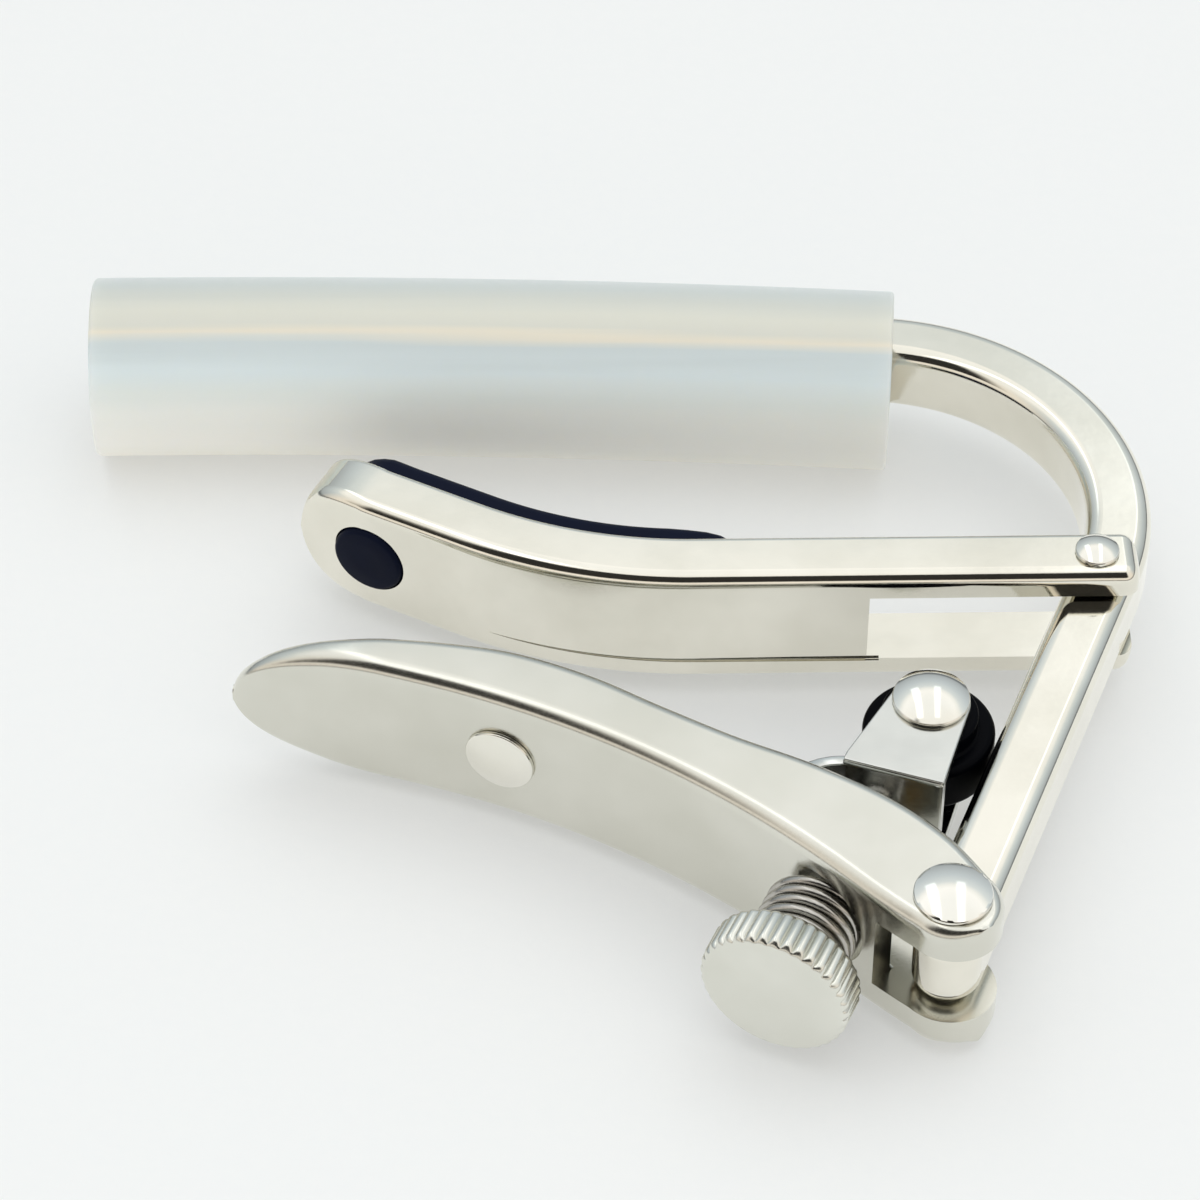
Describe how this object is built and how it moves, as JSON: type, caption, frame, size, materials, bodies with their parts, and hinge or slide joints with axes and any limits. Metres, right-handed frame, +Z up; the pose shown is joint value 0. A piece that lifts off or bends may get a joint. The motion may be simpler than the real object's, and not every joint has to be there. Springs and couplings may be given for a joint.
{
  "type": "guitar capo",
  "caption": "Lever-operated clamp for a guitar neck: sleeved string bar on a bent frame, padded channel jaw, over-centre lever with a roller, knurled screw and spring.",
  "frame": {"origin": "bottom centre of the bounding box, on the surface the capo lies on", "axes": "+X along the string bar towards the bow, +Y from the lever towards the string bar, +Z up through the clamp's width, parallel to both pivot pins"},
  "size_m": [0.0876, 0.0782, 0.015],
  "materials": {
    "nickel_plate": "polished nickel plate on brass",
    "spring_steel": "bright spring steel",
    "brass": "turned brass",
    "milky_silicone": "translucent milky silicone tube",
    "black_rubber": "matt moulded black rubber"
  },
  "bodies": {
    "frame": {"frame_bar": "nickel_plate", "string_sleeve": "milky_silicone", "jaw_rivet": "nickel_plate", "lever_rivet": "nickel_plate"},
    "jaw": {"jaw": "nickel_plate", "jaw_pad": "black_rubber"},
    "lever": {"lever": "nickel_plate", "strip_rivet": "nickel_plate", "screw_bush": "brass"},
    "carriage": {"roller_carriage": "spring_steel", "roller_axle": "nickel_plate"},
    "roller": {"roller": "black_rubber"},
    "screw_feed": {"knob_spring": "spring_steel"},
    "screw": {"adjusting_screw": "spring_steel", "thumb_knob": "nickel_plate"}
  },
  "joints": [
    {"name": "jaw_pivot", "type": "hinge", "parent": "frame", "child": "jaw", "pos_m": [0.03855, 0.00361, 0.0075], "axis": [0, 0, 1], "range_deg": [-5.5, 11]},
    {"name": "lever_pivot", "type": "hinge", "parent": "frame", "child": "lever", "pos_m": [0.02508, -0.03279, 0.0075], "axis": [0, 0, 1], "range_deg": [0, 110]},
    {"name": "carriage_flex", "type": "hinge", "parent": "lever", "child": "carriage", "pos_m": [-0.00743, -0.01078, 0.0075], "axis": [0, 0, 1], "range_deg": [0, 2.9]},
    {"name": "roller_spin", "type": "hinge", "parent": "carriage", "child": "roller", "pos_m": [0.02465, -0.0117, 0.0075], "axis": [0, 0, 1], "continuous": true},
    {"name": "screw_advance", "type": "slide", "parent": "lever", "child": "screw_feed", "axis": [0.4067, 0.9135, 0], "range_m": [0, 0.0014], "deforming": ["knob_spring"]},
    {"name": "screw_turn", "type": "hinge", "parent": "screw_feed", "child": "screw", "pos_m": [0.01185, -0.03689, 0.0075], "axis": [0.4067, 0.9135, 0], "range_deg": [0, 630]}
  ],
  "couplings": [
    {"joint": "screw_turn", "follows": "screw_advance", "rad_per_m": 7854},
    {"joint": "carriage_flex", "follows": "screw_advance", "rad_per_m": 35.41}
  ]
}
